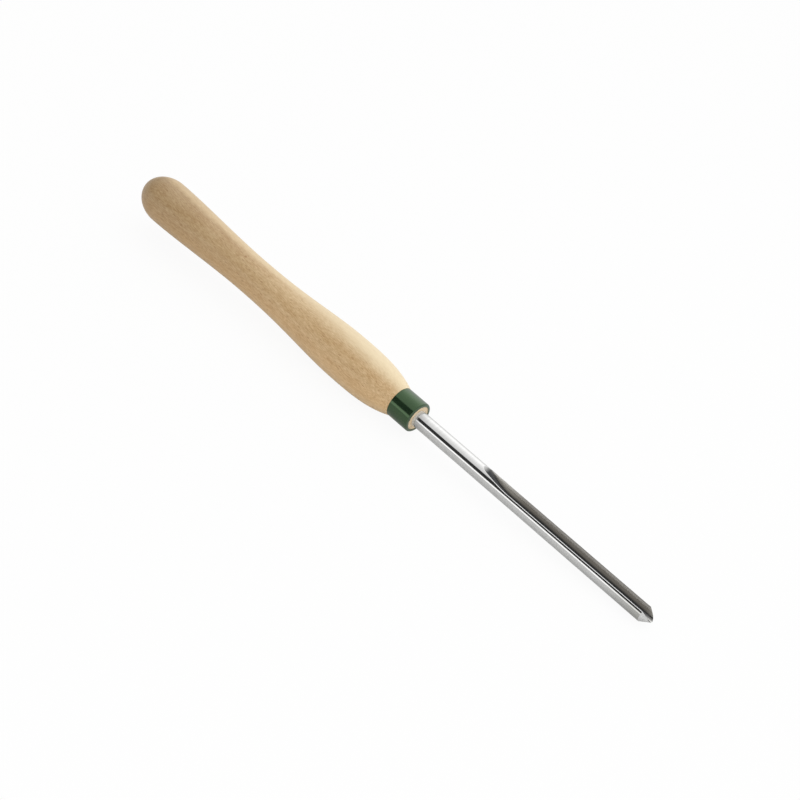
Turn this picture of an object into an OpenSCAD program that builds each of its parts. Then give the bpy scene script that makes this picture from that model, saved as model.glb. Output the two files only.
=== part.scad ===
// Bowl gouge: a fluted round bar with a conical ground tip, bonded into a turned beech handle
// that a lacquered ferrule keeps from splitting.
// +X runs along the tool to the cutting edge, the flute opens to +Z, and the origin is on the axis
// in the plane of the ferrule's front rim. Lengths are in millimetres.

/* [Handle] */
// Length of the handle, from the butt to the front of the ferrule
handle_len = 303; // [240:1:450]
// Diameter of the swell at the butt
butt_d = 36; // [30:0.1:44]
// Length of the domed end, from the butt to its swell
butt_dome_len = 23.5; // [12:0.5:40]
// Diameter of the waist
waist_d = 28.9; // [24:0.1:34]
// Distance of the waist behind the front of the ferrule
waist_x = 177; // [130:1:205]
// Diameter of the belly
belly_d = 37.6; // [30:0.1:46]
// Distance of the belly behind the front of the ferrule
belly_x = 75; // [45:0.5:110]
// Depth of the end grain behind the front of the ferrule
grain_recess = 0.4; // [0.1:0.1:2]

/* [Ferrule] */
// Length of the ferrule
ferrule_len = 19.6; // [12:0.1:32]
// Outside diameter of the ferrule
ferrule_d = 24.1; // [21:0.1:28]
// Wall of the ferrule
ferrule_wall = 2.25; // [1:0.05:3]
// Radius of the rounded front rim
rim_r = 1.3; // [0.3:0.1:2]
// Broken edge at the back of the ferrule
ferrule_edge = 0.25; // [0.1:0.05:0.8]

/* [Bar] */
// Diameter of the round bar
bar_d = 12.7; // [10.5:0.1:15]
// Reach of the cutting edge in front of the ferrule
bar_reach = 221.2; // [150:0.1:320]
// Length of bar inside the handle
bar_embed = 90; // [50:1:120]
// Chamfer on the buried end of the bar
bar_chamfer = 1; // [0.2:0.1:2]
// Half angle of the ground cone, which is the angle of the bevel
bevel_angle = 32; // [25:0.5:60]

/* [Flute] */
// Width across the lips of the flute
flute_w = 9.5; // [7:0.1:10]
// Steel left below the floor of the flute
flute_web = 4.6; // [2.5:0.1:6]
// Radius of the floor of the flute
floor_r = 3.2; // [2:0.1:4]
// Distance of the flute's run-out in front of the ferrule
flute_start = 63; // [30:1:110]
// Radius of the milling cutter, which shapes the run-out
cutter_r = 55; // [30:1:90]

/* [Bond] */
// Thickness of the adhesive around the bar
bond_gap = 0.15; // [0.05:0.01:0.5]
// Depth of adhesive behind the buried end of the bar
bond_pool = 2; // [0.5:0.5:10]
// Point angle of the drill that made the blind bore
drill_point = 118; // [90:1:140]

/* [Hidden] */

$fn = 96;

// Points on each curved stretch of the handle, and on each small arc
stretch_steps = 20;
arc_steps = 12;

// Shape of the handle's curves: a lean above 1 holds a curve near its first diameter for longer,
// and the shoulder's power makes it turn late and fast into the ferrule
taper_lean = 0.94;
rise_lean = 1.3;
shoulder_power = 3.2;

// How far a cutting shape runs past what it cuts
overrun = 2;

// Grid of the flute's section, so that the cutter's plunge and its straight pass meet exactly
flute_grid = 0.001;

bar_r = bar_d / 2;
ferrule_r = ferrule_d / 2;
tenon_r = ferrule_r - ferrule_wall;

bore_r = bar_r + bond_gap;
bore_end = bar_embed + bond_pool;
bore_tip = bore_r / tan(drill_point / 2);

floor_z = flute_web - bar_r;
lip_y = flute_w / 2;
lip_z = sqrt(bar_r * bar_r - lip_y * lip_y);

cone_run = bar_r / tan(bevel_angle);
nose_r = max(0, -floor_z);
apex_x = bar_reach + nose_r / tan(bevel_angle);
heel_x = apex_x - cone_run;

// Smooth step from 0 to 1
function ease(u) = u * u * (3 - 2 * u);

// A length, or a point, rounded to the grid on which the flute is drawn
function snap(v) = is_list(v) ? [for (c = v) snap(c)] : round(v / flute_grid) * flute_grid;

// Points [radius, x] of a round arc, in steps from one angle to another
function arc(r, x, radius, from, to) = [
    for (i = [0:arc_steps])
        let (a = from + (to - from) * i / arc_steps)
        [r + radius * cos(a), x + radius * sin(a)]
];

// Points [radius, x] of the butt's elliptical dome, from the axis to its swell
function dome() = [
    for (i = [0:stretch_steps])
        let (a = 90 * i / stretch_steps)
        [butt_d / 2 * sin(a), -handle_len + butt_dome_len * (1 - cos(a))]
];

// Points [radius, x] of a smooth stretch between two diameters, without its first point
function stretch(x0, d0, x1, d1, lean) = [
    for (i = [1:stretch_steps])
        let (u = i / stretch_steps)
        [(d0 + (d1 - d0) * ease(pow(u, lean))) / 2, x0 + (x1 - x0) * u]
];

// Points [radius, x] of the convex shoulder from the belly to the back of the ferrule
function shoulder() = [
    for (i = [1:stretch_steps])
        let (u = i / stretch_steps)
        [(belly_d - (belly_d - ferrule_d) * pow(u, shoulder_power)) / 2, -belly_x + (belly_x - ferrule_len) * u]
];

// A profile of [radius, x] points turned about the tool's axis
module turned(profile) {
    rotate([90, 0, 90])
        rotate_extrude()
            polygon(profile);
}

// Cross section [y, z] of the flute: a round floor whose straight walls lean out through the lips
function flute_section() =
    let (
        floor_c = floor_z + floor_r,
        lip_h = lip_z - floor_c,
        turn = atan2(lip_h, lip_y) - acos(floor_r / norm([lip_y, lip_h])),
        foot = [floor_r * cos(turn), floor_c + floor_r * sin(turn)],
        rise = (bar_r + overrun - foot[1]) / (lip_z - foot[1]),
        brim = foot + rise * ([lip_y, lip_z] - foot),
        floor_arc = arc(0, floor_c, floor_r, turn, -180 - turn)
    )
    snap(concat([brim], floor_arc, [[-brim[0], brim[1]]]));

// What the milling cutter removes: its plunge at the run-out, then a straight pass out through the tip
module flute() {
    section = flute_section();
    depth = bar_r - floor_z;
    full_x = snap(flute_start + sqrt(cutter_r * cutter_r - pow(cutter_r - depth, 2)));
    cutter_z = snap(floor_z + cutter_r);
    translate([full_x, 0, 0])
        rotate([90, 0, 90])
            linear_extrude(apex_x - full_x + overrun)
                polygon(section);
    translate([full_x, 0, cutter_z])
        rotate([90, 0, 0])
            rotate([0, 0, 180])
                rotate_extrude(angle = 90)
                    polygon([for (p = section) [cutter_z - p[1], p[0]]]);
}

// Beech handle with the tenon for the ferrule and the blind bore for the bar
module handle() {
    swell_x = butt_dome_len - handle_len;
    color("#cdaf82")
        turned(concat(
            dome(),
            stretch(swell_x, butt_d, -waist_x, waist_d, taper_lean),
            stretch(-waist_x, waist_d, -belly_x, belly_d, rise_lean),
            shoulder(),
            [[tenon_r, -ferrule_len], [tenon_r, -grain_recess], [bore_r, -grain_recess]],
            [[bore_r, -bore_end], [0, -bore_end - bore_tip]]
        ));
}

// Lacquered tube on the tenon, rounded at the front
module ferrule() {
    color("#324b3a")
        turned(concat(
            [[tenon_r, 0], [tenon_r, -ferrule_len]],
            [[ferrule_r - ferrule_edge, -ferrule_len], [ferrule_r, -ferrule_len + ferrule_edge]],
            arc(ferrule_r - rim_r, -rim_r, rim_r, 0, 90)
        ));
}

// Round bar, fluted along the top and ground to a cone at the tip
module blade() {
    color("#b8b8b5")
        difference() {
            turned([
                [0, -bar_embed],
                [bar_r - bar_chamfer, -bar_embed],
                [bar_r, -bar_embed + bar_chamfer],
                [bar_r, heel_x],
                [0, apex_x]
            ]);
            flute();
        }
}

// Cured adhesive: a thin sleeve around the buried bar, and the pool behind it in the drilled end
module epoxy_sleeve() {
    color("#c9a95f")
        turned([
            [0, -bore_end - bore_tip],
            [bore_r, -bore_end],
            [bore_r, -grain_recess],
            [bar_r, -grain_recess],
            [bar_r, -bar_embed + bar_chamfer],
            [bar_r - bar_chamfer, -bar_embed],
            [0, -bar_embed]
        ]);
}

handle();
ferrule();
blade();
epoxy_sleeve();
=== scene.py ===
# %% [markdown]
# # A bowl gouge in beech, green lacquer and polished steel
#
# A bowl gouge is a lathe chisel. A round bar of hard steel has a flute milled along its top and a bevel
# ground round its tip, and it is glued into a turned wooden handle. A ferrule, which is a short tube,
# keeps the end of the wood from splitting. The measured model already holds every size and place, so
# this lesson gives its pieces smooth skins and real finishes, and then sets up light and a camera.

# %% Load the measured model
import math

import bpy
from mathutils import Matrix, Vector


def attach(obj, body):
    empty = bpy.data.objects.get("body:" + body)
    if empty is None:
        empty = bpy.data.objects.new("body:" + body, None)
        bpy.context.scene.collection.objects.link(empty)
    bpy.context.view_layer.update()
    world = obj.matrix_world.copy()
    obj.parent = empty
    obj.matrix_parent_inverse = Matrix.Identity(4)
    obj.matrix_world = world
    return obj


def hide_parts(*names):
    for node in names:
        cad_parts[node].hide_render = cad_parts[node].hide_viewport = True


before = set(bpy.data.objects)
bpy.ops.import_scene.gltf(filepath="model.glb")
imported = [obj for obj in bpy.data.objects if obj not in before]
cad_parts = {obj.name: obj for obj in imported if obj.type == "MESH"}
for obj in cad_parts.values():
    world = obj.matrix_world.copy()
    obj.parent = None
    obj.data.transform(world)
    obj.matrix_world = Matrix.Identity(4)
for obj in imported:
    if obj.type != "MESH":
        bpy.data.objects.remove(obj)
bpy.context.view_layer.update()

MM = 0.001
print("nodes of the measured model:", ", ".join(sorted(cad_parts)))

# %% [markdown]
# ## The sizes
#
# The tool lies along X. The origin is on its axis, in the plane of the ferrule's front rim, the cutting
# edge points to +X and the flute opens to +Z. Writing the sizes down once, in millimetres, lets every
# piece below be drawn from the same numbers, so that they meet without gaps.

# %% Sizes in millimetres
# Handle: its length and diameters, with their places behind the rim
handle_len, butt_d, dome_len = 303, 36, 23.5
waist_d, waist_x = 28.9, 177
belly_d, belly_x = 37.6, 75
# End grain behind the rim, and the blind bore with its drill point
grain_recess = 0.4
bore_r, bore_end, bore_tip = 6.5, 92, 3.9
# Ferrule, and the tenon inside it
ferrule_len, ferrule_r, ferrule_edge = 19.6, 12.05, 0.25
rim_r, tenon_r = 1.3, 9.8
# Bar: its radius, its reach in front of the rim, its buried length and the chamfer there
bar_r, bar_reach, bar_embed, bar_chamfer = 6.35, 221.2, 90, 1
bevel_angle = math.radians(32)
# Flute: height and radius of its floor, half its width at the lips, its start and its cutter's radius
floor_z, floor_r, lip_y = -1.75, 3.2, 4.75
flute_start, cutter_r = 63, 55

apex_x = bar_reach - floor_z / math.tan(bevel_angle)
heel_x = apex_x - bar_r / math.tan(bevel_angle)
print(f"bevel runs from {heel_x:.1f} to {bar_reach:.1f} mm in front of the ferrule")

# %% [markdown]
# ## A lathe made of operators
#
# The handle, the ferrule and the bar are all turned pieces. Each could start from a cylinder whose rings
# are scaled one by one, but a turner thinks in profiles: half the outline is drawn, and the work spins.
# Here a plane is merged to a single point, the point is extruded along the profile, and Spin carries the
# line once round the axis. Merging doubles closes the seam, and the poles where the line met the axis.

# %% Draw a line
def take(piece):
    """Makes this piece the only one that the next operator acts on."""
    bpy.ops.object.select_all(action="DESELECT")
    if piece:
        piece.select_set(True)
        bpy.context.view_layer.objects.active = piece


def draw_line(name, points):
    """Extrudes one point through a list of places, in millimetres, and leaves the line in edit mode."""
    take(None)
    bpy.ops.mesh.primitive_plane_add(size=MM, location=(0, 0, 0))
    piece = bpy.context.object
    piece.name = piece.data.name = name
    bpy.ops.object.mode_set(mode="EDIT")
    bpy.ops.mesh.merge(type="CENTER")
    bpy.ops.transform.translate(value=Vector(points[0]) * MM)
    for here, there in zip(points, points[1:]):
        step = (Vector(there) - Vector(here)) * MM
        bpy.ops.mesh.extrude_vertices_move(TRANSFORM_OT_translate={"value": step})
    return piece

# %% Turn a profile about the tool's axis
merge_gap = 0.002 * MM


def close_skin():
    """Merges doubles, turns the faces outwards and leaves edit mode."""
    bpy.ops.mesh.select_all(action="SELECT")
    bpy.ops.mesh.remove_doubles(threshold=merge_gap)
    bpy.ops.mesh.normals_make_consistent(inside=False)
    bpy.ops.object.mode_set(mode="OBJECT")


def turn(name, profile, around):
    """Spins a profile of (place along the axis, radius) into a closed piece."""
    piece = draw_line(name, [(x, 0, r) for x, r in profile])
    bpy.ops.mesh.select_all(action="SELECT")
    bpy.ops.mesh.spin(steps=around, angle=2 * math.pi, center=(0, 0, 0), axis=(1, 0, 0))
    close_skin()
    print(name, "has", len(profile), "profile points and", len(piece.data.polygons), "faces")
    return piece


print("points closer than", merge_gap / MM, "mm are merged")

# %% [markdown]
# ## The handle
#
# The handle is one turned length of beech: a domed butt, a waist for the hand, a belly, and a shoulder
# that rolls over late into the ferrule. Inside the ferrule it goes on as a tenon, whose end grain shows
# as a ring round the bar. The curves are smooth steps between the measured diameters. A curve object
# would do as well, but a formula keeps the skin on the measured solid.

# %% Profile of the handle
# A lean above 1 holds a stretch near its first diameter for longer, and the shoulder's power turns it late
taper_lean, rise_lean, shoulder_power = 0.94, 1.3, 3.2
dome_steps, stretch_steps = 32, 40


def ease(u):
    """A smooth step from 0 to 1."""
    return u * u * (3 - 2 * u)


def stretch(x0, d0, x1, d1, lean):
    """A smooth stretch between two diameters, without its first point."""
    shares = [i / stretch_steps for i in range(1, stretch_steps + 1)]
    return [(x0 + (x1 - x0) * u, (d0 + (d1 - d0) * ease(u ** lean)) / 2) for u in shares]


dome = [math.radians(90 * i / dome_steps) for i in range(dome_steps + 1)]
dome = [(-handle_len + dome_len * (1 - math.cos(a)), butt_d / 2 * math.sin(a)) for a in dome]
shoulder = [i / stretch_steps for i in range(1, stretch_steps + 1)]
shoulder = [(-belly_x + (belly_x - ferrule_len) * u,
             belly_d / 2 - (belly_d / 2 - ferrule_r) * u ** shoulder_power) for u in shoulder]
print(f"dome ends at {dome[-1][0]:.1f} mm, shoulder at {shoulder[-1][0]:.1f} mm")

# %% Turn the handle
faces_round = 128
handle = turn("handle_beech", (
    dome
    + stretch(dome_len - handle_len, butt_d, -waist_x, waist_d, taper_lean)
    + stretch(-waist_x, waist_d, -belly_x, belly_d, rise_lean)
    + shoulder
    + [(-ferrule_len, tenon_r), (-grain_recess, tenon_r), (-grain_recess, bore_r)]
    + [(-bore_end, bore_r), (-bore_end - bore_tip, 0)]
), around=faces_round)

# %% [markdown]
# ## The ferrule
#
# The ferrule is a short tube, rounded over at the front and lacquered. Its profile is a closed loop, so
# the last point comes back to the first, and merging doubles joins them. A Bevel on a plain tube would
# round the rim too, but here the arc is part of the profile and keeps its measured radius.

# %% Turn the ferrule
rim_steps = 10


def arc(x, r, radius, start, end, steps):
    """Points on a round corner, from one angle to another, in degrees from the radius towards +X."""
    turns = [math.radians(start + (end - start) * i / steps) for i in range(steps + 1)]
    return [(x + radius * math.sin(a), r + radius * math.cos(a)) for a in turns]


ferrule = turn("ferrule_lacquered", (
    [(-ferrule_len, tenon_r), (-ferrule_len, ferrule_r - ferrule_edge)]
    + [(-ferrule_len + ferrule_edge, ferrule_r)]
    + arc(-rim_r, ferrule_r - rim_r, rim_r, 0, 90, rim_steps)
    + [(0, tenon_r), (-ferrule_len, tenon_r)]
), around=faces_round)

# %% [markdown]
# ## The bar
#
# The bar is ground round, chamfered at the buried end and ground to a cone at the tip. It is turned here
# with rings of edges along it, so that its faces stay short where the flute will cut them. A primitive
# cylinder would have faces as long as the bar. Going round in 120 faces keeps the mirror smooth.

# %% Turn the bar
bar_faces_round = 120
shank_rings = [0, 30, flute_start - 3]
first_ring, last_ring, ring_gap = 96, 208, 4
flute_rings = list(range(first_ring, last_ring + 1, ring_gap))
blade = turn("blade_fluted", (
    [(-bar_embed, 0), (-bar_embed, bar_r - bar_chamfer), (-bar_embed + bar_chamfer, bar_r)]
    + [(x, bar_r) for x in shank_rings + flute_rings]
    + [(heel_x, bar_r), (apex_x, 0)]
), around=bar_faces_round)

# %% [markdown]
# ## The flute
#
# A flute is milled: a cutter whose edge has the flute's section plunges into the bar, which leaves the
# long curved run-out, and then moves straight out through the tip. The same is done here. The section is
# drawn once, extruded for the straight pass and spun about the cutter's axle for the plunge, and a
# Boolean modifier takes that shape out of the bar. Pushing faces down by hand could not keep the lips
# straight where the round floor meets the round bar.

# %% Draw the section of the flute
# The cutter runs this far past what it cuts
overrun = 2
floor_steps = 18
floor_c = floor_z + floor_r
lip_z = math.sqrt(bar_r ** 2 - lip_y ** 2)
lip_h = lip_z - floor_c
foot_turn = math.atan2(lip_h, lip_y) - math.acos(floor_r / math.hypot(lip_y, lip_h))
foot = Vector((floor_r * math.cos(foot_turn), floor_c + floor_r * math.sin(foot_turn)))
wall = Vector((lip_y, lip_z)) - foot
brim = foot + wall * (bar_r + overrun - foot.y) / wall.y

floor_sweep = -math.pi - 2 * foot_turn
floor_turns = [foot_turn + floor_sweep * i / floor_steps for i in range(floor_steps + 1)]
section = [(brim.x, brim.y)]
section += [(floor_r * math.cos(a), floor_c + floor_r * math.sin(a)) for a in floor_turns]
section += [(-brim.x, brim.y)]

depth = bar_r - floor_z
full_x = flute_start + math.sqrt(cutter_r ** 2 - (cutter_r - depth) ** 2)
print(f"flute is at full depth from {full_x:.1f} mm, lips {2 * lip_y} mm apart")

# %% Make the milling cutter's path
# The plunge is swept a few degrees past the place where the cutter leaves the bar. Spin turns against
# the screw rule about its axis, so here a negative angle goes back towards the ferrule
plunge_sweep, plunge_steps = -math.radians(36), 40
same_plane = 0.01 * MM
cutter = draw_line("milling_path", [(full_x, y, z) for y, z in section + section[:1]])
bpy.ops.mesh.select_all(action="SELECT")
bpy.ops.mesh.remove_doubles(threshold=merge_gap)
straight_pass = ((apex_x + overrun - full_x) * MM, 0, 0)
bpy.ops.mesh.extrude_edges_move(TRANSFORM_OT_translate={"value": straight_pass})
bpy.ops.mesh.edge_face_add()
bpy.ops.mesh.select_all(action="DESELECT")
bpy.ops.object.mode_set(mode="OBJECT")
for vertex in cutter.data.vertices:
    vertex.select = abs(vertex.co.x - full_x * MM) < same_plane
bpy.ops.object.mode_set(mode="EDIT")
bpy.ops.mesh.spin(steps=plunge_steps, angle=plunge_sweep, axis=(0, 1, 0),
                  center=(full_x * MM, 0, (floor_z + cutter_r) * MM))
bpy.ops.mesh.edge_face_add()
close_skin()
print("the cutter's path has", len(cutter.data.polygons), "faces")

# %% Mill the flute
def cut(piece, tool, name):
    """Takes the tool's shape out of the piece with a Boolean modifier, and deletes the tool."""
    take(piece)
    boolean = piece.modifiers.new(name, "BOOLEAN")
    boolean.operation = "DIFFERENCE"
    boolean.solver = "EXACT"
    boolean.object = tool
    bpy.ops.object.modifier_apply(modifier=name)
    bpy.data.objects.remove(tool)


cut(blade, cutter, "milling")
print("the fluted bar has", len(blade.data.polygons), "faces")

# %% [markdown]
# ## Three cuts and two rubbed lips
#
# The steel shows three cuts: the polished round, the milled flute and the ground bevel. Each face is
# sorted by its place, so that each can have a finish of its own. The edges between the round and the
# flute are the lips. They are worn to a narrow strip, which catches the light as a bright line. The Bevel
# tool would trip over the small faces at the run-out, so the lips are copied as a line and made a thin
# tube, like a round stone, and a second Boolean takes it out of the bar. The line is first lifted off the
# round, so that the tube only grazes each lip. The slivers that the cut leaves are dissolved.

# %% Sort the faces of the steel
POLISHED, MILLED, GROUND, RUBBED = 0, 1, 2, 3
# How near to the cone a ground face lies, and how far inside the round a milled one starts
cone_gap, round_gap = 0.01, 0.02
for _ in (POLISHED, MILLED, GROUND, RUBBED):
    blade.data.materials.append(None)
for face in blade.data.polygons:
    places = [blade.data.vertices[v].co / MM for v in face.vertices]
    radii = [math.hypot(p.y, p.z) for p in places]
    cone_radii = [(apex_x - p.x) * math.tan(bevel_angle) for p in places]
    on_cone = all(abs(r - cone_r) < cone_gap for r, cone_r in zip(radii, cone_radii))
    in_flute = max(p.x for p in places) > flute_start and min(radii) < bar_r - round_gap
    face.material_index = GROUND if on_cone else MILLED if in_flute else POLISHED
print("polished, milled and ground faces:",
      [sum(f.material_index == k for f in blade.data.polygons) for k in (POLISHED, MILLED, GROUND)])

# %% Copy the lips as a line
sides = {}
for face in blade.data.polygons:
    for key in face.edge_keys:
        sides.setdefault(key, set()).add(face.material_index)
take(blade)
bpy.ops.object.mode_set(mode="EDIT")
bpy.context.tool_settings.mesh_select_mode = (False, True, False)
bpy.ops.mesh.select_all(action="DESELECT")
bpy.ops.object.mode_set(mode="OBJECT")
for edge in blade.data.edges:
    edge.select = sides[edge.key] == {POLISHED, MILLED}
bpy.ops.object.mode_set(mode="EDIT")
bpy.ops.mesh.duplicate()
bpy.ops.mesh.separate(type="SELECTED")
bpy.ops.object.mode_set(mode="OBJECT")
lips = [piece for piece in bpy.context.selected_objects if piece != blade][0]
print("the lips are a line of", len(lips.data.edges), "edges")

# %% Make the line a thin round stone
stone_r, stone_lift, stone_steps = 0.8, 0.7, 6
take(lips)
bpy.ops.object.mode_set(mode="EDIT")
bpy.ops.mesh.select_all(action="SELECT")
lift = 1 + stone_lift / bar_r
bpy.ops.transform.resize(value=(1, lift, lift), center_override=(0, 0, 0))
bpy.ops.object.mode_set(mode="OBJECT")
bpy.ops.object.convert(target="CURVE")
lips = bpy.context.object
lips.data.bevel_depth = stone_r * MM
lips.data.bevel_resolution = stone_steps
lips.data.use_fill_caps = True
bpy.ops.object.convert(target="MESH")
lips = bpy.context.object
for face in lips.data.polygons:
    face.material_index = RUBBED
print(f"the stone reaches {stone_r - stone_lift:.1f} mm into each lip")

# %% Rub the lips
cut(blade, lips, "rubbing")
bpy.ops.object.mode_set(mode="EDIT")
bpy.ops.mesh.select_all(action="SELECT")
bpy.ops.mesh.dissolve_degenerate(threshold=merge_gap)
close_skin()
print("rubbed faces:", sum(face.material_index == RUBBED for face in blade.data.polygons))

# %% [markdown]
# ## Shading, and standing in for the measured solids
#
# Smooth shading by angle keeps the crisp edges and rounds the rest. On the bar, a Weighted Normal
# modifier lets the large faces decide the shading, so that the rubbed lips don't bend the reflections
# beside them. Then each piece rides on the tool's one body and stands for its measured solid.

# %% Smooth the skins and hand the pieces in
crisp_angle = math.radians(28)
for piece, node, slot in ((handle, "handle", "beech"), (ferrule, "ferrule", "green_lacquer"),
                          (blade, "blade", "tool_steel")):
    take(piece)
    bpy.ops.object.shade_smooth_by_angle(angle=crisp_angle)
    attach(piece, "root")
    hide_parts(node)
take(blade)
evened = blade.modifiers.new("even_shading", "WEIGHTED_NORMAL")
evened.keep_sharp = True
bpy.ops.object.modifier_apply(modifier="even_shading")
print("pieces:", handle.name, ferrule.name, blade.name)

# %% [markdown]
# ## Helpers for the finishes
#
# Colours are written as sRGB hex, as a paint chart or a photograph gives them, and turned to the linear
# values that a shader needs. One function adds a node of any kind with its settings and links. A pattern
# is sized by the millimetres that one of its cells takes up on the tool. A Mix node has a set of sockets
# for each type of data, so the numbers of the ones used here get names.

# %% Colour and node
FACTOR, VALUE_A, VALUE_B, COLOUR_A, COLOUR_B = 0, 2, 3, 6, 7
MIXED_COLOUR = 2


def paint(code):
    """A colour written as sRGB hex, as the linear values that a shader takes."""
    shares = [int(code[i:i + 2], 16) / 255 for i in (1, 3, 5)]
    return tuple(c / 12.92 if c <= 0.04045 else ((c + 0.055) / 1.055) ** 2.4 for c in shares) + (1,)


def add(tree, kind, inputs=None, **settings):
    """Adds one node with its settings, and gives each input a value or a link from an output."""
    node = tree.nodes.new("ShaderNode" + kind)
    for name, value in settings.items():
        setattr(node, name, value)
    for socket, source in (inputs or {}).items():
        if isinstance(source, bpy.types.NodeSocket):
            tree.links.new(source, node.inputs[socket])
        else:
            node.inputs[socket].default_value = source
    return node


print("beech as linear values:", [round(c, 3) for c in paint("#CDAB7D")])

# %% New finish and pattern size
def new_finish(name):
    """An empty material, its node tree and the place on the piece that its patterns follow."""
    finish = bpy.data.materials.new(name)
    finish.use_nodes = True
    finish.node_tree.nodes.clear()
    return finish, finish.node_tree, add(finish.node_tree, "TexCoord").outputs["Object"]


def per_mm(*sizes):
    """The Mapping scale at which a pattern's cell has these sizes along X, Y and Z."""
    return tuple(1 / (size * MM) for size in sizes)


print("a cell of 2 mm has a scale of", round(per_mm(2)[0]))

# %% [markdown]
# ## Beech, turned and waxed
#
# Beech is a pale, pinkish brown wood. What tells it from other pale woods is its fine grain: short dark
# flecks along the wood, a few millimetres long, between streaks hardly wider than a hair. The growth
# rings only show as faint broad bands, because the handle was turned from a plank whose pith lies to one
# side, and the grain slants a few degrees to the axis. The side that faces up and away, towards the light,
# is painted paler, a painted highlight, and the lower edge is a little paler, painted light bounced from
# the paper. The side facing down is tinted rosier, painted shade, and the wood is painted darker towards
# the butt, painted shade where the light falls off. The wax gives a soft satin light along the lit side.
# The patterns below are laid in the solid wood, as rings round an off-centre pith and cells stretched
# along
# X. A flat pattern would have to be wrapped round the handle, and would show a seam.

# %% Growth rings and clouds
beech, tree, place = new_finish("beech_turned_and_waxed")
ring_width = 2.6
# A wave's rings repeat every 0.314 / Scale metres
wave_repeat = 0.314
# The pith lies beside the handle and runs about a degree off its axis
round_pith = add(tree, "Mapping", {"Vector": place, "Location": (0, -22 * MM, 41 * MM),
                                   "Rotation": (0, 0.02, 0.012)})
rings = add(tree, "TexWave", {"Vector": round_pith.outputs[0], "Scale": wave_repeat / (ring_width * MM),
                              "Distortion": 2.5, "Detail": 2.0, "Detail Scale": 0.6},
            wave_type="RINGS", rings_direction="X")
cloud_place = add(tree, "Mapping", {"Vector": place, "Scale": per_mm(40, 7, 7)})
clouds = add(tree, "TexNoise", {"Vector": cloud_place.outputs[0], "Scale": 1.0, "Detail": 2.0})
print(f"growth rings {ring_width} mm apart, wave scale {wave_repeat / (ring_width * MM):.0f}")

# %% Streaks and pores
# A real streak is about 0.1 mm wide and a pore half of that. Streaks are drawn six to seven times and
# pores eight times as wide, because finer ones would not show at this distance
streak_len, streak_width = 4.5, 0.65
pore_len, pore_width = 0.8, 0.4
# A Mapping of the texture type turns before it scales, so slanted streaks keep their shape
streak_place = add(tree, "Mapping", {"Vector": place, "Rotation": (0, 0.05, -0.06),
                                     "Scale": (streak_len * MM, streak_width * MM, streak_width * MM)},
                   vector_type="TEXTURE")
streaks = add(tree, "TexNoise", {"Vector": streak_place.outputs[0], "Scale": 1.0, "Detail": 3.0,
                                 "Roughness": 0.65})
pore_place = add(tree, "Mapping", {"Vector": place, "Scale": per_mm(pore_len, pore_width, pore_width)})
pores = add(tree, "TexNoise", {"Vector": pore_place.outputs[0], "Scale": 1.0, "Detail": 1.0})
print(f"streaks {streak_len} x {streak_width} mm, pores {pore_len} x {pore_width} mm")

# %% Flecks
# Each Voronoi cell holds one fleck, and its random colour says how dark that fleck is, if it shows at all
fleck_len, fleck_width = 5, 0.9
fleck_place = add(tree, "Mapping", {"Vector": place, "Scale": per_mm(fleck_len, fleck_width, fleck_width)})
flecks = add(tree, "TexVoronoi", {"Vector": fleck_place.outputs[0], "Scale": 1.0})
fleck_core = add(tree, "MapRange", {"Value": flecks.outputs["Distance"], "From Min": 0.33,
                                    "From Max": 0.14}, interpolation_type="SMOOTHSTEP")
fleck_lot = add(tree, "SeparateColor", {0: flecks.outputs["Color"]})
fleck_some = add(tree, "MapRange", {"Value": fleck_lot.outputs["Red"], "From Min": 0.35,
                                    "From Max": 1.0})
fleck = add(tree, "Math", {0: fleck_core.outputs[0], 1: fleck_some.outputs[0]}, operation="MULTIPLY")
print(f"flecks in cells of {fleck_len} x {fleck_width} mm")

# %% Colour of the grain
pore_share, ring_share, cloud_share, fleck_share = 0.3, 0.06, 0.16, 0.85
grain = add(tree, "Math", {0: pores.outputs["Fac"], 1: pore_share, 2: streaks.outputs["Fac"]},
            operation="MULTIPLY_ADD")
grain = add(tree, "Math", {0: rings.outputs["Fac"], 1: ring_share, 2: grain.outputs[0]},
            operation="MULTIPLY_ADD")
grain = add(tree, "Math", {0: clouds.outputs["Fac"], 1: cloud_share, 2: grain.outputs[0]},
            operation="MULTIPLY_ADD")
tone = add(tree, "MapRange", {"Value": grain.outputs[0], "From Min": 0.54, "From Max": 0.98})
wood = add(tree, "Mix", {FACTOR: tone.outputs[0], COLOUR_A: paint("#D9BD93"),
                         COLOUR_B: paint("#B38D5B")}, data_type="RGBA")
fleck_depth = add(tree, "Math", {0: fleck.outputs[0], 1: fleck_share}, operation="MULTIPLY")
wood = add(tree, "Mix", {FACTOR: fleck_depth.outputs[0], COLOUR_A: wood.outputs[MIXED_COLOUR],
                         COLOUR_B: paint("#9C7145")}, data_type="RGBA")
# Painted shade: the wood is painted darker towards the butt, where the light falls off
along = add(tree, "SeparateXYZ", {0: place})
butt_falloff_shade = add(tree, "MapRange", {"Value": along.outputs["X"], "From Min": -130 * MM,
                                 "From Max": -290 * MM})
wood = add(tree, "Mix", {FACTOR: butt_falloff_shade.outputs[0], COLOUR_A: wood.outputs[MIXED_COLOUR],
                         COLOUR_B: paint("#D7D5D1")}, data_type="RGBA", blend_type="MULTIPLY")
print("grain is a mix of streaks, pores, rings and clouds, with", len(tree.nodes), "nodes so far")
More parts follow.
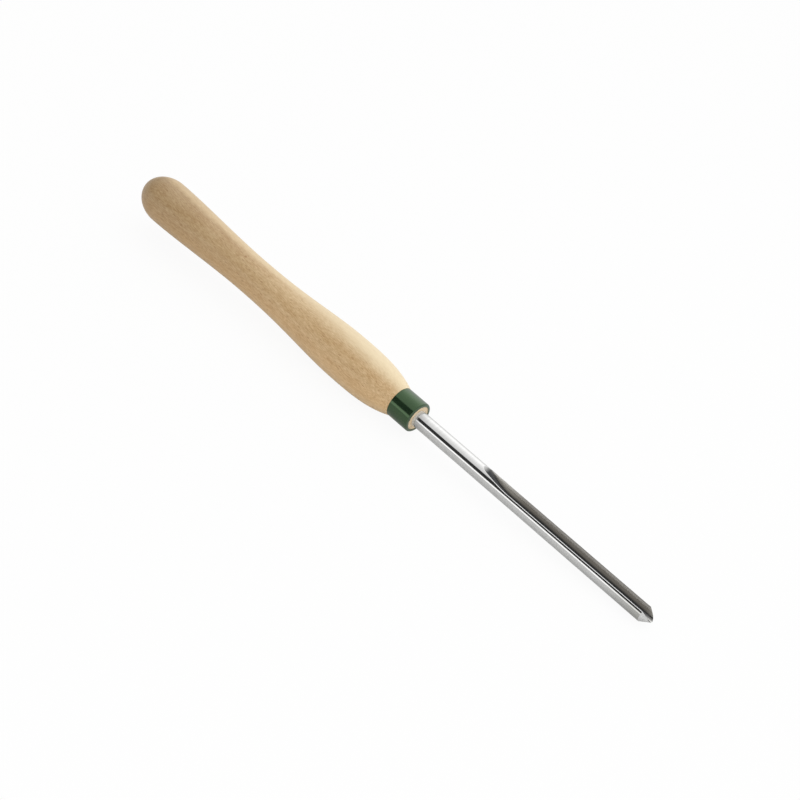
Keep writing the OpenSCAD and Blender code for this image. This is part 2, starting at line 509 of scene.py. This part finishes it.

# %% Where the painted highlight lies
# Painted highlight: the wood is painted paler on the side that faces up and away, towards the light, as a
# narrow strip at the waist that spreads towards the ferrule. A little paler paint on the opposite side
# stands for light bounced up from the paper
lit_side_facing = (0, 0.5, 0.866)
lit_side_dot = add(tree, "VectorMath", {0: add(tree, "TexCoord").outputs["Normal"], 1: lit_side_facing},
               operation="DOT_PRODUCT")
painted_highlight_wide = add(tree, "MapRange", {"Value": lit_side_dot.outputs["Value"], "From Min": 0.27,
                                  "From Max": 0.9}, interpolation_type="SMOOTHSTEP")
painted_highlight_strip = add(tree, "MapRange", {"Value": lit_side_dot.outputs["Value"], "From Min": 0.75,
                                   "From Max": 0.94}, interpolation_type="SMOOTHSTEP")
painted_highlight_spread = add(tree, "MapRange", {"Value": along.outputs["X"], "From Min": -190 * MM,
                                    "From Max": -70 * MM})
painted_light_share = add(tree, "Mix", {FACTOR: painted_highlight_spread.outputs[0], VALUE_A: painted_highlight_strip.outputs[0],
                        VALUE_B: painted_highlight_wide.outputs[0]})
painted_bounce_light = add(tree, "MapRange", {"Value": lit_side_dot.outputs["Value"], "From Min": -0.4,
                                  "From Max": -0.8, "To Max": 0.4})
painted_light_share = add(tree, "Math", {0: painted_light_share.outputs[0], 1: painted_bounce_light.outputs[0]}, operation="ADD")
painted_highlight_ends = add(tree, "MapRange", {"Value": along.outputs["X"], "From Min": -290 * MM,
                                  "From Max": -50 * MM, "To Min": 0.4, "To Max": 0.95})
painted_light_share = add(tree, "Math", {0: painted_light_share.outputs[0], 1: painted_highlight_ends.outputs[0]}, operation="MULTIPLY")
print("painted_pale_wood faces", lit_side_facing)

# %% Colour of the painted highlight and the heartwood
painted_highlight_grain_share = 0.22
# Painted highlight: pale colours laid on the side that faces the light, keeping a little of the grain
painted_highlight_tone = add(tree, "Mix", {FACTOR: painted_highlight_ends.outputs[0], COLOUR_A: paint("#D6B478"),
                             COLOUR_B: paint("#E9D8B4")}, data_type="RGBA")
painted_highlight_grain = add(tree, "Math", {0: tone.outputs[0], 1: painted_highlight_grain_share}, operation="MULTIPLY")
painted_highlight_tone = add(tree, "Mix", {FACTOR: painted_highlight_grain.outputs[0], COLOUR_A: painted_highlight_tone.outputs[MIXED_COLOUR],
                             COLOUR_B: paint("#C29C68")}, data_type="RGBA")
wood = add(tree, "Mix", {FACTOR: painted_light_share.outputs[0], COLOUR_A: wood.outputs[MIXED_COLOUR],
                         COLOUR_B: painted_highlight_tone.outputs[MIXED_COLOUR]}, data_type="RGBA")
# Painted shade: the side facing down is tinted a little rosier and darker in green and blue
painted_lower_shade = add(tree, "MapRange", {"Value": lit_side_dot.outputs["Value"], "From Min": -0.1, "From Max": -0.6})
wood = add(tree, "Mix", {FACTOR: painted_lower_shade.outputs[0], COLOUR_A: wood.outputs[MIXED_COLOUR],
                         COLOUR_B: paint("#FFF8EE")}, data_type="RGBA", blend_type="MULTIPLY")
print("painted_pale_wood keeps", painted_highlight_grain_share, "of the grain")

# %% Knot and end grain
# One pin knot, hardly more than a millimetre across, shows on the waist
knot_place = (-186.8 * MM, -5 * MM, 13.6 * MM)
knot_way = add(tree, "VectorMath", {0: place, 1: knot_place}, operation="DISTANCE")
knot = add(tree, "MapRange", {"Value": knot_way.outputs["Value"], "From Min": 1.2 * MM,
                              "From Max": 0.4 * MM, "To Max": 0.6})
wood = add(tree, "Mix", {FACTOR: knot.outputs[0], COLOUR_A: wood.outputs[MIXED_COLOUR],
                         COLOUR_B: paint("#9A6A3C")}, data_type="RGBA")
# Painted light: the end grain inside the ferrule, which faces the front, is painted paler
painted_light_end_grain = add(tree, "MapRange", {"Value": along.outputs["X"], "From Min": -1.2 * MM,
                                   "From Max": -0.6 * MM, "To Max": 0.8})
wood = add(tree, "Mix", {FACTOR: painted_light_end_grain.outputs[0], COLOUR_A: wood.outputs[MIXED_COLOUR],
                         COLOUR_B: paint("#E6D0AC")}, data_type="RGBA")
print("beech has", sum(n.bl_idname == "ShaderNodeMix" for n in tree.nodes), "Mix nodes")

# %% Satin of the wax
# Wax fills the pores, so the eye gets a broad, soft light and hardly any relief
satin = add(tree, "MapRange", {"Value": streaks.outputs["Fac"], "To Min": 0.42, "To Max": 0.52})
height = add(tree, "Math", {0: streaks.outputs["Fac"], 1: fleck.outputs[0]}, operation="SUBTRACT")
relief = add(tree, "Bump", {"Height": height.outputs[0], "Strength": 0.1, "Distance": 0.1 * MM})
waxed = add(tree, "BsdfPrincipled", {"Base Color": wood.outputs[MIXED_COLOUR],
                                     "Roughness": satin.outputs[0], "Normal": relief.outputs[0],
                                     "Specular IOR Level": 0.4,
                                     "Coat Weight": 0.12, "Coat Roughness": 0.45,
                                     "Sheen Weight": 0.12, "Sheen Roughness": 0.5})
add(tree, "OutputMaterial", {"Surface": waxed.outputs[0]})
handle.data.materials.append(beech)
print(beech.name, "has", len(tree.nodes), "nodes")

# %% [markdown]
# ## Green lacquer on a metal tube
#
# The ferrule has a dark green gloss lacquer, as a dip would leave it. The coat is thin and the metal
# below shows through it, so even its mirror light is green: that is what Specular Tint does here. A clear
# coat over green paint would give white highlights instead. A dip is slightly uneven, which a soft noise
# gives to colour, gloss and relief, and over the front rim the colour is mixed towards a lighter
# grey-green.

# %% Lacquer
lacquer, tree, place = new_finish("green_lacquer_dipped")
# The eye gets deep green with sharp, slightly wavering reflections
dip_place = add(tree, "Mapping", {"Vector": place, "Scale": per_mm(9, 3, 3)})
dip = add(tree, "TexNoise", {"Vector": dip_place.outputs[0], "Scale": 1.0, "Detail": 2.0})
green = add(tree, "Mix", {FACTOR: dip.outputs["Fac"], COLOUR_A: paint("#14231A"),
                          COLOUR_B: paint("#22331F")}, data_type="RGBA")
along = add(tree, "SeparateXYZ", {0: place})
# Over the front rim the coat is mixed towards a lighter grey-green
rim_lighter = add(tree, "MapRange", {"Value": along.outputs["X"], "From Min": -0.9 * MM,
                              "From Max": -0.1 * MM, "To Max": 0.3})
green = add(tree, "Mix", {FACTOR: rim_lighter.outputs[0], COLOUR_A: green.outputs[MIXED_COLOUR],
                          COLOUR_B: paint("#5C665F")}, data_type="RGBA")
gloss = add(tree, "MapRange", {"Value": dip.outputs["Fac"], "To Min": 0.08, "To Max": 0.16})
uneven = add(tree, "Bump", {"Height": dip.outputs["Fac"], "Strength": 0.08, "Distance": 0.05 * MM})
dipped = add(tree, "BsdfPrincipled", {"Base Color": green.outputs[MIXED_COLOUR],
                                      "Roughness": gloss.outputs[0], "Normal": uneven.outputs[0],
                                      "Specular IOR Level": 0.85, "Specular Tint": paint("#CFFFC2")})
add(tree, "OutputMaterial", {"Surface": dipped.outputs[0]})
ferrule.data.materials.append(lacquer)
print(lacquer.name, "has", len(tree.nodes), "nodes")

# %% [markdown]
# ## Steel, four ways
#
# High speed steel is a neutral grey metal, and its four surfaces differ in how they were cut. The round
# was polished, so it mirrors the room. Near the ferrule and near the tip it is painted darker, painted
# shade in its mirror, and its foot is painted pale grey, a painted reflection. The flute was milled along
# the bar.
# Its walls are lighter and its floor charcoal, and just below the lips the walls are painted darker,
# painted shade. Where the flute runs out its walls carry painted highlights, and behind the edge it was
# honed and is painted brighter, a painted glint. The bevel was ground on a stone, which leaves a sparkling
# grey, and the lips are rubbed bright. One steel with a painted mask would do, but a material for each cut
# keeps each one simple. The marks of a wheel are a few hundredths of a millimetre apart. They are drawn
# ten to twenty times as coarse here, because finer ones would not show.

# %% Greys of the polished round
polished, tree, place = new_finish("high_speed_steel_polished")
# The eye gets long, sharp reflections along the bar, with faint ticks across them
tick_place = add(tree, "Mapping", {"Vector": place, "Scale": per_mm(0.9, 25, 25)})
ticks = add(tree, "TexNoise", {"Vector": tick_place.outputs[0], "Scale": 1.0, "Detail": 2.0})
shade = add(tree, "MapRange", {"Value": ticks.outputs["Fac"], "From Min": 0.3, "From Max": 0.7})
grey = add(tree, "Mix", {FACTOR: shade.outputs[0], COLOUR_A: paint("#BFBFBE"),
                         COLOUR_B: paint("#C9C9C8")}, data_type="RGBA")
along = add(tree, "SeparateXYZ", {0: place})
# Painted shade: the round is painted darker just in front of the ferrule, where its mirror is darker
ferrule_mirror_shade = add(tree, "MapRange", {"Value": along.outputs["X"], "From Min": 12 * MM, "From Max": 3 * MM,
                              "To Max": 0.7})
grey = add(tree, "Mix", {FACTOR: ferrule_mirror_shade.outputs[0], COLOUR_A: grey.outputs[MIXED_COLOUR],
                         COLOUR_B: paint("#A6A6A4")}, data_type="RGBA")
# Painted shade: the round is painted darker towards the tip, where its mirror of the paper is darker
tip_mirror_shade = add(tree, "MapRange", {"Value": along.outputs["X"], "From Min": 180 * MM, "From Max": 213 * MM})
grey = add(tree, "Mix", {FACTOR: tip_mirror_shade.outputs[0], COLOUR_A: grey.outputs[MIXED_COLOUR],
                         COLOUR_B: paint("#AAAAA6")}, data_type="RGBA")
# Painted reflection: the foot of the round is painted pale grey
foot_painted_reflection = add(tree, "MapRange", {"Value": along.outputs["X"], "From Min": 3.2 * MM, "From Max": 1.2 * MM})
grey = add(tree, "Mix", {FACTOR: foot_painted_reflection.outputs[0], COLOUR_A: grey.outputs[MIXED_COLOUR],
                         COLOUR_B: paint("#D4D4D2")}, data_type="RGBA")
print("the round has", sum(n.bl_idname == "ShaderNodeMix" for n in tree.nodes), "Mix nodes")

# %% Mirror of the polished round
soft_end = add(tree, "MapRange", {"Value": along.outputs["X"], "From Min": 1 * MM, "From Max": 4.5 * MM,
                                  "To Min": 0.22, "To Max": 0.0})
mirror = add(tree, "MapRange", {"Value": shade.outputs[0], "To Min": 0.11, "To Max": 0.08})
mirror = add(tree, "Math", {0: mirror.outputs[0], 1: soft_end.outputs[0]}, operation="ADD")
# Painted reflection: the foot of the bar is made mostly non-metal, so its pale grey paint stands where a
# mirror would show the wood beside it
foot_painted_reflection_metallic = add(tree, "MapRange", {"Value": along.outputs["X"], "From Min": 0.8 * MM,
                                   "From Max": 3.6 * MM, "To Min": 0.25, "To Max": 1.0})
steel = add(tree, "BsdfPrincipled", {"Base Color": grey.outputs[MIXED_COLOUR],
                                     "Roughness": mirror.outputs[0], "Metallic": foot_painted_reflection_metallic.outputs[0]})
add(tree, "OutputMaterial", {"Surface": steel.outputs[0]})
blade.data.materials[POLISHED] = polished
print(polished.name, "has", len(tree.nodes), "nodes")

# %% Walls of the milled flute
milled, tree, place = new_finish("high_speed_steel_milled")
# The eye gets a darker, softer mirror than the round's, drawn out in lines along the bar
line_place = add(tree, "Mapping", {"Vector": place, "Scale": per_mm(70, 0.5, 0.5)})
lines = add(tree, "TexNoise", {"Vector": line_place.outputs[0], "Scale": 1.0, "Detail": 2.0})
shade = add(tree, "MapRange", {"Value": lines.outputs["Fac"], "From Min": 0.3, "From Max": 0.7})
grey = add(tree, "Mix", {FACTOR: shade.outputs[0], COLOUR_A: paint("#96938E"),
                         COLOUR_B: paint("#A5A29D")}, data_type="RGBA")
along = add(tree, "SeparateXYZ", {0: place})
# Painted shade: just below the lips the walls are painted darker
lip_wall_shade = add(tree, "MapRange", {"Value": along.outputs["Z"], "From Min": 2.6 * MM,
                                  "From Max": 3.9 * MM, "To Max": 0.7})
grey = add(tree, "Mix", {FACTOR: lip_wall_shade.outputs[0], COLOUR_A: grey.outputs[MIXED_COLOUR],
                         COLOUR_B: paint("#5A5854")}, data_type="RGBA")
# Painted highlight: the walls of the run-out are painted bright
runout_painted_highlight = add(tree, "MapRange", {"Value": along.outputs["X"], "From Min": 100 * MM, "From Max": 70 * MM,
                                "To Max": 0.8})
grey = add(tree, "Mix", {FACTOR: runout_painted_highlight.outputs[0], COLOUR_A: grey.outputs[MIXED_COLOUR],
                         COLOUR_B: paint("#C6C4BF")}, data_type="RGBA")
print("walls of the flute:", len(tree.nodes), "nodes so far")

# %% Charcoal floor of the flute
# The floor of the flute is charcoal, darker than the walls. The floor climbs out of the
# bar in the run-out, about as the square of the way back from the full depth
way_back = add(tree, "MapRange", {"Value": along.outputs["X"], "From Min": full_x * MM, "From Max": 0.0,
                                  "To Max": full_x * MM})
climb = add(tree, "Math", {0: way_back.outputs[0], 1: way_back.outputs[0]}, operation="MULTIPLY")
climb = add(tree, "Math", {0: climb.outputs[0], 1: -0.5 / (cutter_r * MM), 2: along.outputs["Z"]},
            operation="MULTIPLY_ADD")
charcoal_floor = add(tree, "MapRange", {"Value": climb.outputs[0], "From Min": 1.9 * MM,
                                  "From Max": -1.3 * MM}, interpolation_type="SMOOTHSTEP")
# The charcoal fades where the floor is honed, for the last few millimetres before the edge
hone_from, hone_to = 211, 218.5
slipped = add(tree, "MapRange", {"Value": along.outputs["X"], "From Min": hone_from * MM,
                                 "From Max": hone_to * MM, "To Min": 1.0, "To Max": 0.68})
charcoal_floor = add(tree, "Math", {0: charcoal_floor.outputs[0], 1: slipped.outputs[0]}, operation="MULTIPLY")
grey = add(tree, "Mix", {FACTOR: charcoal_floor.outputs[0], COLOUR_A: grey.outputs[MIXED_COLOUR],
                         COLOUR_B: paint("#454648")}, data_type="RGBA")
print(f"the charcoal fades from {hone_from} to {hone_to} mm")

# %% Honed edge and painted highlights of the flute
# The honing behind the edge is painted brighter on one side, towards the nose, as a painted glint
near_edge = add(tree, "MapRange", {"Value": along.outputs["X"], "From Min": hone_from * MM,
                                   "From Max": hone_to * MM, "To Max": 0.85})
leaned = add(tree, "MapRange", {"Value": along.outputs["Y"], "From Min": 1.9 * MM,
                                "From Max": -0.3 * MM}, interpolation_type="SMOOTHSTEP")
honing_and_glint = add(tree, "Math", {0: near_edge.outputs[0], 1: leaned.outputs[0]}, operation="MULTIPLY")
# Painted highlight: the very start of the flute is painted as bright as the round
runout_start_highlight = add(tree, "MapRange", {"Value": along.outputs["X"], "From Min": 68 * MM,
                                  "From Max": 62.8 * MM}, interpolation_type="SMOOTHSTEP")
honing_and_glint = add(tree, "Math", {0: honing_and_glint.outputs[0], 1: runout_start_highlight.outputs[0]}, operation="MAXIMUM")
grey = add(tree, "Mix", {FACTOR: honing_and_glint.outputs[0], COLOUR_A: grey.outputs[MIXED_COLOUR],
                         COLOUR_B: paint("#D2D2D0")}, data_type="RGBA")
buffed = add(tree, "MapRange", {"Value": shade.outputs[0], "To Min": 0.3, "To Max": 0.25})
relief = add(tree, "Bump", {"Height": lines.outputs["Fac"], "Strength": 0.06, "Distance": 0.02 * MM})
steel = add(tree, "BsdfPrincipled", {"Base Color": grey.outputs[MIXED_COLOUR],
                                     "Roughness": buffed.outputs[0], "Normal": relief.outputs[0],
                                     "Metallic": 1.0})
add(tree, "OutputMaterial", {"Surface": steel.outputs[0]})
blade.data.materials[MILLED] = milled
print(milled.name, "has", len(tree.nodes), "nodes")

# %% Ground bevel
ground, tree, place = new_finish("high_speed_steel_ground")
# The eye gets a bright, broken sparkle. Real grit leaves finer marks, which would not show
grit_place = add(tree, "Mapping", {"Vector": place, "Scale": per_mm(0.6, 1.6, 1.6)})
grit = add(tree, "TexNoise", {"Vector": grit_place.outputs[0], "Scale": 1.0, "Detail": 3.0})
shade = add(tree, "MapRange", {"Value": grit.outputs["Fac"], "From Min": 0.3, "From Max": 0.7})
grey = add(tree, "Mix", {FACTOR: shade.outputs[0], COLOUR_A: paint("#C2C2C1"),
                         COLOUR_B: paint("#DADAD9")}, data_type="RGBA")
stone = add(tree, "MapRange", {"Value": shade.outputs[0], "To Min": 0.32, "To Max": 0.24})
relief = add(tree, "Bump", {"Height": grit.outputs["Fac"], "Strength": 0.15, "Distance": 0.02 * MM})
steel = add(tree, "BsdfPrincipled", {"Base Color": grey.outputs[MIXED_COLOUR],
                                     "Roughness": stone.outputs[0], "Normal": relief.outputs[0],
                                     "Metallic": 1.0})
add(tree, "OutputMaterial", {"Surface": steel.outputs[0]})
blade.data.materials[GROUND] = ground
print(ground.name, "has", len(tree.nodes), "nodes")

# %% Rubbed lips
rubbed, tree, place = new_finish("high_speed_steel_rubbed")
# The eye gets a bright line, a little uneven along its length
nick_place = add(tree, "Mapping", {"Vector": place, "Scale": per_mm(4, 0.5, 0.5)})
nicks = add(tree, "TexNoise", {"Vector": nick_place.outputs[0], "Scale": 1.0, "Detail": 2.0})
bright = add(tree, "Mix", {FACTOR: nicks.outputs["Fac"], COLOUR_A: paint("#E6E6E5"),
                           COLOUR_B: paint("#FAFAF9")}, data_type="RGBA")
# At the run-out the line blends into the polish
along = add(tree, "SeparateXYZ", {0: place})
blended = add(tree, "MapRange", {"Value": along.outputs["X"], "From Min": 78 * MM, "From Max": 68 * MM})
bright = add(tree, "Mix", {FACTOR: blended.outputs[0], COLOUR_A: bright.outputs[MIXED_COLOUR],
                           COLOUR_B: paint("#B8B8B7")}, data_type="RGBA")
smooth = add(tree, "MapRange", {"Value": nicks.outputs["Fac"], "To Min": 0.22, "To Max": 0.14})
steel = add(tree, "BsdfPrincipled", {"Base Color": bright.outputs[MIXED_COLOUR],
                                     "Roughness": smooth.outputs[0], "Metallic": 1.0})
add(tree, "OutputMaterial", {"Surface": steel.outputs[0]})
blade.data.materials[RUBBED] = rubbed
print(rubbed.name, "has", len(tree.nodes), "nodes")

# %% [markdown]
# ## Cured epoxy
#
# The adhesive only shows as a hair line round the bar. It could get a skin of its own, but nothing more
# would be seen, so it keeps its measured solid and gets an amber finish, cloudy from the air stirred in.

# %% Epoxy
epoxy, tree, place = new_finish("epoxy_cured")
# The eye gets a thin amber line with a slight gloss
stir_place = add(tree, "Mapping", {"Vector": place, "Scale": per_mm(2, 2, 2)})
stir = add(tree, "TexNoise", {"Vector": stir_place.outputs[0], "Scale": 1.0, "Detail": 2.0})
amber = add(tree, "Mix", {FACTOR: stir.outputs["Fac"], COLOUR_A: paint("#B79352"),
                          COLOUR_B: paint("#D6B87C")}, data_type="RGBA")
set_hard = add(tree, "BsdfPrincipled", {"Base Color": amber.outputs[MIXED_COLOUR], "Roughness": 0.3})
add(tree, "OutputMaterial", {"Surface": set_hard.outputs[0]})
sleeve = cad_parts["epoxy_sleeve"]
sleeve.data.materials.clear()
sleeve.data.materials.append(epoxy)
print(epoxy.name, "is on", sleeve.name)

# %% [markdown]
# ## The floor
#
# The tool lies on white paper, on its belly and on the heel of its bevel, so the paper is tilted to touch
# both. To the camera the paper is nearly pure white, as in a catalogue, and only a trace of its own shade
# is kept, so that the tool still stands on something. The polished steel sees more of that shade, which
# darkens its underside. A shadow catcher would do too, but leaves the white to be added afterwards.

# %% Lay the paper
# Twelve metres put the edges far outside the picture
paper_size = 12
take(None)
rest_slope = (belly_d / 2 - bar_r) / (belly_x + heel_x)
bpy.ops.mesh.primitive_plane_add(size=paper_size)
floor = bpy.context.object
floor.name = "paper_floor"
floor.rotation_euler = (0, -math.atan(rest_slope), 0)
floor.location = (-belly_x * MM, 0, -belly_d / 2 * MM)
print(f"paper rises {math.degrees(math.atan(rest_slope)):.2f} degrees towards the tip")

# %% White paper
seen_share, mirrored_share = 0.93, 0.3
paper = bpy.data.materials.new("white_paper")
paper.use_nodes = True
tree = paper.node_tree
tree.nodes.clear()
path = add(tree, "LightPath")
mirrored = add(tree, "Math", {0: path.outputs["Is Glossy Ray"], 1: path.outputs["Is Transmission Ray"]},
               operation="ADD")
mirrored = add(tree, "Math", {0: mirrored.outputs[0], 1: mirrored_share}, operation="MULTIPLY")
share = add(tree, "Math", {0: path.outputs["Is Camera Ray"], 1: seen_share, 2: mirrored.outputs[0]},
            operation="MULTIPLY_ADD")
shaded = add(tree, "BsdfDiffuse", {"Color": paint("#EAEAE9")})
white = add(tree, "Emission", {"Color": paint("#FFFFFF"), "Strength": 1.0})
both = add(tree, "MixShader", {0: share.outputs[0], 1: shaded.outputs[0], 2: white.outputs[0]})
add(tree, "OutputMaterial", {"Surface": both.outputs[0]})
floor.data.materials.append(paper)
print("paper is", seen_share, "white to the camera and", mirrored_share, "in mirrors")

# %% [markdown]
# ## The light
#
# Polished steel has no shading of its own to show: it shows the room. The bar in the photograph mirrors
# a bright panel above, a dark gap towards the camera and a pale wall at the side, all running along the
# tool. So the world is a tent of light that changes with the angle round the tool's axis. Past the tip it
# ends in plain grey cloth, and behind the butt it is dimmer. Panels built as lamps would do the same, but
# their ends would show in the bar. Two soft lamps, one on the far side and one on the camera's side, lift
# the wood and are kept out of mirrors.

# %% Tent of light
tent_level = 1.9
# Angles in degrees round the tool's axis, from +Y towards +Z, and the light from there
tent = [(-180, 1.9), (-90, 1.0), (-10, 1.0), (0, 1.1), (20, 1.5), (38, 1.85), (52, 1.8), (71, 1.5),
        (98, 1.2), (124.5, 1.08), (127.5, 0.05), (163.5, 0.05), (166.5, 1.7), (173, 1.9), (180, 1.9)]
world = bpy.data.worlds.new("light_tent")
world.use_nodes = True
tree = world.node_tree
tree.nodes.clear()
facing = add(tree, "SeparateXYZ", {0: add(tree, "TexCoord").outputs["Generated"]})
angle = add(tree, "Math", {0: facing.outputs["Z"], 1: facing.outputs["Y"]}, operation="ARCTAN2")
angle = add(tree, "MapRange", {"Value": angle.outputs[0], "From Min": -math.pi, "From Max": math.pi})
ramp = add(tree, "ValToRGB", {"Fac": angle.outputs[0]})
stops = ramp.color_ramp.elements
while len(stops) < len(tent):
    stops.new(0.5)
for stop, (degrees, level) in zip(stops, tent):
    stop.position = (degrees + 180) / 360
    stop.color = (level / tent_level,) * 3 + (1,)
print("the tent has", len(stops), "stops and is brightest at", tent_level)

# %% Ends of the tent, and white beyond the paper
cloth_share, dim_share = 0.5, 0.25
path = add(tree, "LightPath")
front = add(tree, "MapRange", {"Value": facing.outputs["X"], "From Min": 0.0, "From Max": 0.25},
            interpolation_type="SMOOTHSTEP")
cloth = add(tree, "Mix", {FACTOR: front.outputs[0], COLOUR_A: ramp.outputs["Color"],
                          COLOUR_B: (cloth_share,) * 3 + (1,)}, data_type="RGBA")
back = add(tree, "MapRange", {"Value": facing.outputs["X"], "From Min": -0.9, "From Max": -0.5,
                              "To Min": dim_share * tent_level, "To Max": tent_level},
           interpolation_type="SMOOTHSTEP")
glow = add(tree, "Background", {"Color": cloth.outputs[MIXED_COLOUR], "Strength": back.outputs[0]})
backdrop = add(tree, "Background", {"Color": paint("#FFFFFF"), "Strength": 1.0})
shown = add(tree, "MixShader", {0: path.outputs["Is Camera Ray"], 1: glow.outputs[0],
                                2: backdrop.outputs[0]})
add(tree, "OutputWorld", {"Surface": shown.outputs[0]})
bpy.context.scene.world = world
print("world:", world.name)

# %% Lamps
lamp_size, lamp_watts = 0.6, 0.8
aim = Vector((-0.08, 0, 0))
for name, spot in (("key_lamp", (0.35, 0.50, 0.75)), ("fill_lamp", (0.50, -0.65, 0.30))):
    take(None)
    bpy.ops.object.light_add(type="AREA", location=spot)
    lamp = bpy.context.object
    lamp.name = lamp.data.name = name
    lamp.data.shape = "RECTANGLE"
    lamp.data.size = lamp.data.size_y = lamp_size
    lamp.data.energy = lamp_watts
    lamp.rotation_euler = (aim - Vector(spot)).to_track_quat("-Z", "Y").to_euler()
    lamp.visible_camera = False
    lamp.visible_glossy = False
    print(f"{name}: {(aim - Vector(spot)).length:.2f} m from the belly, {lamp_watts} W")

# %% [markdown]
# ## The camera
#
# The photograph was taken from above and in front, with a moderately long lens. Three angles place the
# tool before it: how far its tip comes towards the camera, how steeply it runs down the picture, and how
# far it is rolled about its own axis. The picture is 800 pixels square, and the centre of the ferrule's
# rim lies at a known pixel. From these, the camera's own place and directions follow in the tool's frame.

# %% Directions of the tool before the camera
tip_forward, run_down, roll = math.radians(25.4), math.radians(40.78), math.radians(39.6)
tool_x = Vector((math.cos(tip_forward) * math.cos(run_down), math.cos(tip_forward) * math.sin(run_down),
                 -math.sin(tip_forward)))
level_side = tool_x.cross(Vector((0, 0, 1))).normalized()
tool_z = math.cos(roll) * level_side + math.sin(roll) * tool_x.cross(level_side)
tool_y = tool_z.cross(tool_x)
print("the tool's axis runs", [round(c, 3) for c in tool_x], "right, down and away")

# %% Place the camera
picture_px, focal_px = 800, 1800
rim_centre_px, rim_distance = (418.28, 418.39), 1.264
offset_px = [(place_px - picture_px / 2) / focal_px for place_px in rim_centre_px]
rim = rim_distance * Vector((offset_px[0], offset_px[1], 1))

# Rows are the camera's right, up and back, as the tool's frame sees them
turn_to_tool = Matrix(((tool_x.x, tool_y.x, tool_z.x), (-tool_x.y, -tool_y.y, -tool_z.y),
                       (-tool_x.z, -tool_y.z, -tool_z.z)))
camera_place = Vector((-rim.dot(tool_x), -rim.dot(tool_y), -rim.dot(tool_z)))
lens = bpy.data.cameras.new("camera")
lens.sensor_width = 36
lens.lens = lens.sensor_width * focal_px / picture_px
camera = bpy.data.objects.new("camera", lens)
camera.matrix_world = Matrix.Translation(camera_place) @ turn_to_tool.transposed().to_4x4()
bpy.context.scene.collection.objects.link(camera)
bpy.context.scene.camera = camera
print("camera stands at", [round(c, 3) for c in camera_place], "with a lens of", lens.lens, "mm")

# %% [markdown]
# ## Finish
#
# The Standard view keeps colours as they are written.

# %% View
bpy.context.scene.view_settings.view_transform = "Standard"
